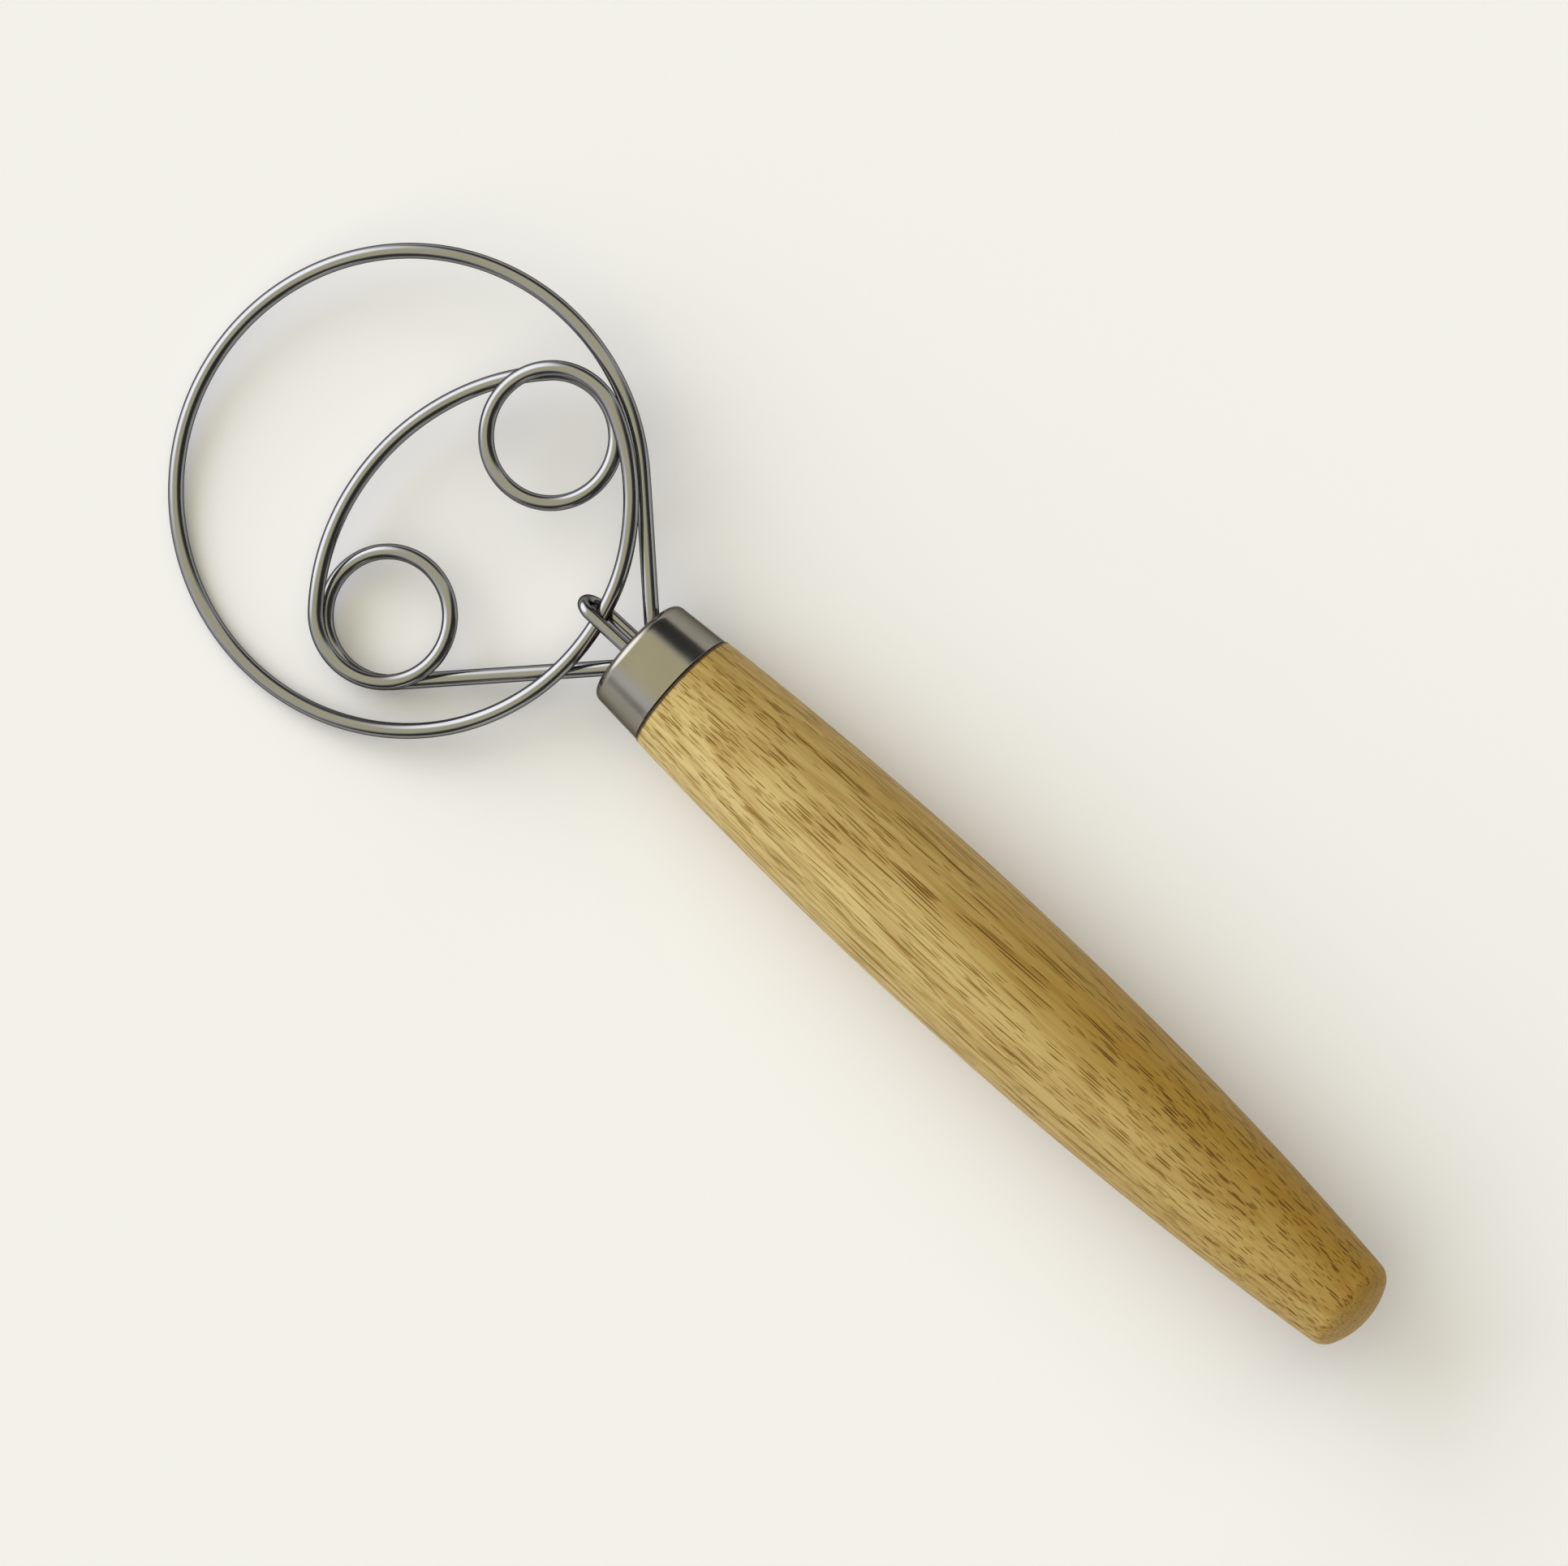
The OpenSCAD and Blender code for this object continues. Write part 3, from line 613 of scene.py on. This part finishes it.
def spun_steel(name):
    """Polished sheet steel: lines CAP_LINE_GAP apart, each a fifth of the way round."""
    material, tree, shader = new_material(name)
    surface = add(tree, "ShaderNodeUVMap", uv_map="surface").outputs["UV"]
    lined = add(tree, "ShaderNodeMapping", {
        "Vector": surface, "Scale": (UV_MM / CAP_LINE_GAP, CAP_LINES_ROUND, 1)})
    lines = add(tree, "ShaderNodeTexNoise", {"Vector": lined.outputs[0], "Scale": 1.0,
                                             "Detail": 3.0})
    place = add(tree, "ShaderNodeTexCoord").outputs["Object"]
    smear = add(tree, "ShaderNodeTexNoise", {"Vector": place, "Scale": 1 / (SMEAR_SIZE * MM),
                                             "Detail": 3.0})
    both = add(tree, "ShaderNodeMix", {0: 0.6, 2: lines.outputs[0], 3: smear.outputs[0]})
    gloss = add(tree, "ShaderNodeMapRange", {"Value": both.outputs[0], "From Min": 0.3,
                                             "From Max": 0.7, "To Min": 0.13, "To Max": 0.22})
    tint = mix(tree, smear.outputs[0], linear("#8B867D"), linear("#959189"))
    bump = add(tree, "ShaderNodeBump", {"Height": lines.outputs[0], "Strength": 0.4,
                                        "Distance": LINE_DEPTH * MM})
    tree.links.new(tint, shader.inputs["Base Color"])
    tree.links.new(gloss.outputs[0], shader.inputs["Roughness"])
    tree.links.new(bump.outputs[0], shader.inputs["Normal"])
    shader.inputs["Metallic"].default_value = 1.0
    shader.inputs["Specular Tint"].default_value = CAP_EDGE_SHADE
    return material


dress(cap, spun_steel("stainless_steel_spun_cap"))

# %% [markdown]
# The handle is a pale golden hardwood with open pores, turned, sanded and clear lacquered. A
# lathe cuts through the growth layers, so the pattern is solid: it lives in the wood's own space,
# with x along the grain. It has four scales: growth layers a few mm thick, broad clouds of tone,
# open pores that show as dark dashes, and hair-fine fibres. The layers are rings round the pith,
# which lay 60 mm below the handle and at a slight tilt to it, and they waver by up to 2.4 mm.

# %% Wood: coordinates and growth layers
LAYER, PITH_AT, PITH_TILT = 1.7, (0.0, 3.0, 60.0), -0.027
WAVER_L, WAVER_W, WAVER_BY = 60.0, 9.0, 2.4
wood, tree, wood_shader = new_material("lacquered_rubberwood_turned")
place = add(tree, "ShaderNodeTexCoord").outputs["Object"]
grain_mm = add(tree, "ShaderNodeMapping", {
    "Vector": place, "Location": tuple(LIE_PLACE * MM), "Rotation": (LIE_ROLL, -LIE_PITCH, 0.0),
    "Scale": (MM, MM, MM)}, vector_type="TEXTURE").outputs[0]
waver = add(tree, "ShaderNodeMapping", {
    "Vector": grain_mm, "Scale": (1 / WAVER_L, 1 / WAVER_W, 1 / WAVER_W)})
wavering = add(tree, "ShaderNodeTexNoise", {"Vector": waver.outputs[0], "Scale": 1.0,
                                            "Detail": 2.0})
bent = add(tree, "ShaderNodeVectorMath", {
    0: wavering.outputs["Color"], 1: (0.0, WAVER_BY, WAVER_BY)}, operation="MULTIPLY")
bent_mm = add(tree, "ShaderNodeVectorMath", {0: grain_mm, 1: bent.outputs[0]}).outputs[0]
from_pith = add(tree, "ShaderNodeMapping", {"Vector": bent_mm, "Location": PITH_AT,
                                            "Rotation": (0.0, PITH_TILT, 0.0)})
across = add(tree, "ShaderNodeVectorMath", {0: from_pith.outputs[0], 1: (0.0, 1.0, 1.0)},
             operation="MULTIPLY")
radius = add(tree, "ShaderNodeVectorMath", {0: across.outputs[0]}, operation="LENGTH")
layer = add(tree, "ShaderNodeMath", {0: radius.outputs["Value"], 1: LAYER}, operation="DIVIDE")
within = add(tree, "ShaderNodeMath", {0: layer.outputs[0]}, operation="FRACT").outputs[0]
early = add(tree, "ShaderNodeMapRange", {
    "Value": within, "From Min": 0.0, "From Max": 0.55, "To Min": 1.0, "To Max": 0.0},
    interpolation_type="SMOOTHSTEP")
late = add(tree, "ShaderNodeMapRange", {
    "Value": within, "From Min": 0.85, "From Max": 1.0, "To Min": 0.0, "To Max": 1.0},
    interpolation_type="SMOOTHSTEP")
layers = add(tree, "ShaderNodeMath", {0: early.outputs[0], 1: late.outputs[0]},
             operation="MAXIMUM").outputs[0]

# %% [markdown]
# A pore is a tube along the grain, cut open where it meets the surface. Voronoi cells 19 mm long
# and 0.42 mm wide hold one tube each; the distance to the cell's point, cut off early, leaves a
# dash with soft ends. In the first wood of each layer the tubes are wider, so more of them show
# there. A second, shorter and finer set fills the gaps, and fine noise makes the fibres.

# %% Wood: pores and fibres
PORE_L, PORE_W = 19.0, 0.42
SMALL_PORE_L, SMALL_PORE_W = 8.0, 0.34
FIBRE_L, FIBRE_W = 30.0, 0.45
BROAD_L, BROAD_W = 45.0, 11.0


def dashes(length, width, low, high):
    """Dark dashes, 0 to 1: Voronoi cells of this length and width in mm, cut off at a distance.

    The cut-off grows from low to high with the growth layer's early wood."""
    cells = add(tree, "ShaderNodeMapping", {"Vector": bent_mm,
                                            "Scale": (1 / length, 1 / width, 1 / width)})
    near = add(tree, "ShaderNodeTexVoronoi", {"Vector": cells.outputs[0], "Scale": 1.0})
    reach = add(tree, "ShaderNodeMapRange", {"Value": layers, "To Min": low, "To Max": high})
    inside = add(tree, "ShaderNodeMath", {0: near.outputs["Distance"], 1: reach.outputs[0]},
                 operation="DIVIDE")
    return add(tree, "ShaderNodeMapRange", {"Value": inside.outputs[0], "From Min": 0.7,
                                            "From Max": 1.0, "To Min": 1.0, "To Max": 0.0},
               interpolation_type="SMOOTHSTEP").outputs[0]


open_pores = dashes(PORE_L, PORE_W, 0.28, 0.39)
small_pores = dashes(SMALL_PORE_L, SMALL_PORE_W, 0.2, 0.3)
pores = add(tree, "ShaderNodeMath", {0: open_pores, 1: small_pores}, operation="MAXIMUM").outputs[0]
threads = add(tree, "ShaderNodeMapping", {
    "Vector": grain_mm, "Scale": (1 / FIBRE_L, 1 / FIBRE_W, 1 / FIBRE_W)})
fibres = add(tree, "ShaderNodeTexNoise", {"Vector": threads.outputs[0], "Scale": 1.0,
                                          "Detail": 3.0}).outputs[0]
broad = add(tree, "ShaderNodeMapping", {
    "Vector": grain_mm, "Scale": (1 / BROAD_L, 1 / BROAD_W, 1 / BROAD_W)})
clouds = add(tree, "ShaderNodeTexNoise", {"Vector": broad.outputs[0], "Scale": 1.0,
                                          "Detail": 2.0}).outputs[0]

# %% [markdown]
# The colours go from the broadest to the finest: the wood is darker towards its +y flank, which is
# painted shade for the side that faces away from the light, and paler towards the cap, then come
# clouds of tone, growth layers, fibres and pores. The pores multiply what lies under them, as a
# shadow in a groove does, so they stay soft and keep the wood's hue.

# %% Wood: colour
SIDE_FROM, SIDE_TO, END_FROM, END_TO = -5.0, 9.0, 20.0, 130.0
LAYER_SHARE = 0.3
spot = add(tree, "ShaderNodeSeparateXYZ", {0: grain_mm})
along, sideways = spot.outputs["X"], spot.outputs["Y"]
# Painted shade: the wood darkens towards its +y flank, which faces away from the light.
side_painted_shade = add(tree, "ShaderNodeMapRange", {
    "Value": sideways, "From Min": SIDE_FROM, "From Max": SIDE_TO, "To Min": 0.07, "To Max": 0.59},
    interpolation_type="SMOOTHSTEP")
heart_end = add(tree, "ShaderNodeMapRange", {
    "Value": along, "From Min": END_FROM, "From Max": END_TO, "To Min": -0.2, "To Max": 0.3})
cloud_shift = add(tree, "ShaderNodeMapRange", {"Value": clouds, "From Min": 0.3, "From Max": 0.7,
                                               "To Min": 0.0, "To Max": 0.25})
# The painted side shade, the darker tone towards the butt and the clouds add up to one amount.
heart_and_side_shade = add(tree, "ShaderNodeMath", {0: side_painted_shade.outputs[0], 1: heart_end.outputs[0]},
            operation="ADD")
heart_and_side_shade = add(tree, "ShaderNodeMath", {0: heart_and_side_shade.outputs[0], 1: cloud_shift.outputs[0]},
            operation="ADD", use_clamp=True)
ground = mix(tree, heart_and_side_shade.outputs[0], linear("#D1BC81"), linear("#A48033"))
layer_amount = add(tree, "ShaderNodeMath", {0: layers, 1: LAYER_SHARE}, operation="MULTIPLY")
grown = mix(tree, layer_amount.outputs[0], ground, linear("#976A22"))
fibre_amount = add(tree, "ShaderNodeMapRange", {"Value": fibres, "From Min": 0.46, "From Max": 0.66,
                                                "To Min": 0.0, "To Max": 0.54})
fibrous = mix(tree, fibre_amount.outputs[0], grown, linear("#936E24"))
pore_shade = mix(tree, heart_and_side_shade.outputs[0], linear("#C0B172"), linear("#A4924C"))
porous = mix(tree, pores, fibrous, pore_shade, blend_type="MULTIPLY")

# %% [markdown]
# At the butt the dome cuts across the grain, and there the pores end as fine dots. The dome is
# painted a little paler and warmer: painted light, which evens out the shade it falls into as it
# turns away from the light above. At the neck a thin dark line fills the joint to the cap: dirt in
# the joint, and painted shade of the groove there.
# The lacquer is thin and rubbed down: it leaves a weak, broad sheen, and the pores stay dented.

# %% Wood: end grain, joint and finish
DOME_FROM, DOME_TO = 151.5, 155.0
JOINT_FROM, JOINT_TO = NECK_X + 0.35, NECK_X + 0.7
PORE_DEPTH = 0.06
# Painted light: the dome is turned paler and warmer against its shade.
dome_painted_light = add(tree, "ShaderNodeMapRange", {
    "Value": along, "From Min": DOME_FROM, "From Max": DOME_TO, "To Min": 0.0, "To Max": 0.3})
dome_lightened = mix(tree, dome_painted_light.outputs[0], porous, linear("#CC9E50"))
# Dirt and painted shade: the groove at the neck, and a little beyond it, are coloured almost black.
joint_dirt_and_shade = add(tree, "ShaderNodeMapRange", {
    "Value": along, "From Min": JOINT_FROM, "From Max": JOINT_TO, "To Min": 0.95, "To Max": 0.0})
finished = mix(tree, joint_dirt_and_shade.outputs[0], dome_lightened, linear("#241304"))
tree.links.new(finished, wood_shader.inputs["Base Color"])
dent = add(tree, "ShaderNodeBump", {"Height": pores, "Strength": 0.6,
                                    "Distance": PORE_DEPTH * MM}, invert=True)
tree.links.new(dent.outputs[0], wood_shader.inputs["Normal"])
rough = add(tree, "ShaderNodeMapRange", {"Value": fibres, "To Min": 0.48, "To Max": 0.64})
tree.links.new(rough.outputs[0], wood_shader.inputs["Roughness"])
wood_shader.inputs["Specular IOR Level"].default_value = 0.15
wood_shader.inputs["Coat Weight"].default_value = 0.12
wood_shader.inputs["Coat Roughness"].default_value = 0.3
dress(handle, wood)

# %% [markdown]
# Epoxy fills the cap and the drilled hole round the wires; it can be seen in the cap's slot. It
# is poured, so it sets with a glossy face. It is amber, with faint clouds and a few tiny bubbles.

# %% Potting
HAZE_SIZE, BUBBLE_SIZE, PIT_DEPTH = 2.0, 0.9, 0.1
epoxy, tree, epoxy_shader = new_material("epoxy_potting_poured")
place = add(tree, "ShaderNodeTexCoord").outputs["Object"]
haze = add(tree, "ShaderNodeTexNoise", {"Vector": place, "Scale": 1 / (HAZE_SIZE * MM),
                                        "Detail": 4.0})
bubbles = add(tree, "ShaderNodeTexVoronoi", {"Vector": place, "Scale": 1 / (BUBBLE_SIZE * MM)})
pits = add(tree, "ShaderNodeMapRange", {"Value": bubbles.outputs["Distance"], "From Min": 0.1,
                                        "From Max": 0.25})
resin = mix(tree, haze.outputs[0], linear("#8F7846"), linear("#AB9358"))
pitted = add(tree, "ShaderNodeBump", {"Height": pits.outputs[0], "Strength": 0.4,
                                      "Distance": PIT_DEPTH * MM})
tree.links.new(resin, epoxy_shader.inputs["Base Color"])
tree.links.new(pitted.outputs[0], epoxy_shader.inputs["Normal"])
epoxy_shader.inputs["Roughness"].default_value = 0.28
dress(nodes["epoxy_plug"], epoxy)

# %% [markdown]
# The floor is one large plain sheet of pale matt card, so large that it fills every view. It has
# no gloss, so it keeps the whisk's soft shadow and shows nothing else.

# %% Floor
HALF_FLOOR = 15.0
floor_corners = [(-HALF_FLOOR, -HALF_FLOOR, 0), (HALF_FLOOR, -HALF_FLOOR, 0),
                 (HALF_FLOOR, HALF_FLOOR, 0), (-HALF_FLOOR, HALF_FLOOR, 0)]
floor_mesh = bpy.data.meshes.new("table_top")
floor_mesh.from_pydata(floor_corners, [], [(0, 1, 2, 3)])
floor = bpy.data.objects.new("table_top", floor_mesh)
bpy.context.scene.collection.objects.link(floor)
card, tree, card_shader = new_material("matt_card_pale")
card_shader.inputs["Base Color"].default_value = linear("#F8F8FD")
card_shader.inputs["Roughness"].default_value = 0.9
card_shader.inputs["Specular IOR Level"].default_value = 0.0
dress(floor, card)

# %% [markdown]
# The studio is a sky of soft round panels round the table. The main one is a bright soft box on
# the head's side; it makes the light line along the wires. Overhead hangs a warmer one, which
# gives the middle of the cap and of each wire its faint olive tone. Dark panels low on the other
# sides draw the dark lines that make bright metal look round, and four small low lights break
# them up. All of them together light the floor almost white. A later panel covers an earlier one.

# %% Studio
def bearing_up(azimuth, elevation):
    """Unit vector at an azimuth from +x and an elevation above the floor, in degrees."""
    a, e = math.radians(azimuth), math.radians(elevation)
    return (math.cos(a) * math.cos(e), math.sin(a) * math.cos(e), math.sin(e))


studio = bpy.data.worlds.new("studio")
bpy.context.scene.world = studio
studio.use_nodes = True
tree = studio.node_tree
toward = add(tree, "ShaderNodeTexCoord").outputs["Generated"]


def panel(before, azimuth, elevation, radius, softness, light):
    """Blend a round panel over the studio: full inside radius minus softness, in degrees."""
    aim = add(tree, "ShaderNodeVectorMath", {0: toward, 1: bearing_up(azimuth, elevation)},
              operation="DOT_PRODUCT").outputs["Value"]
    cover = add(tree, "ShaderNodeMapRange", {
        "Value": aim, "From Min": math.cos(math.radians(radius)),
        "From Max": math.cos(math.radians(radius - softness))}, interpolation_type="SMOOTHSTEP")
    return mix(tree, cover.outputs[0], before, (*light, 1.0))


panels = [
    (0, 90, 60, 25, (1.15, 1.1, 0.77)),        # warm light overhead
    (262, 8, 16, 10, (0.5, 0.5, 0.52)),        # small grey card on the -y side
    (303, 14, 42, 26, (0.08, 0.08, 0.08)),     # dark card between the -y side and the butt
    (10, 6, 76, 20, (0.07, 0.07, 0.07)),       # wide dark card beyond the butt
    *((azimuth, 2, 15, 10, (1.3, 1.3, 1.3)) for azimuth in (-40, -12, 16, 44)),  # small lights
    (115, 8, 39, 17, (0.08, 0.08, 0.08)),      # dark card on the +y side
    (190, 20, 41, 19, (3.2, 3.25, 3.5))]       # main soft box beyond the head
room = (1.15, 1.16, 1.2, 1.0)
for placing in panels:
    room = panel(room, *placing)
print(len(panels), "panels round the table")
tree.links.new(room, tree.nodes["Background"].inputs["Color"])
bpy.context.scene.view_settings.view_transform = "Standard"
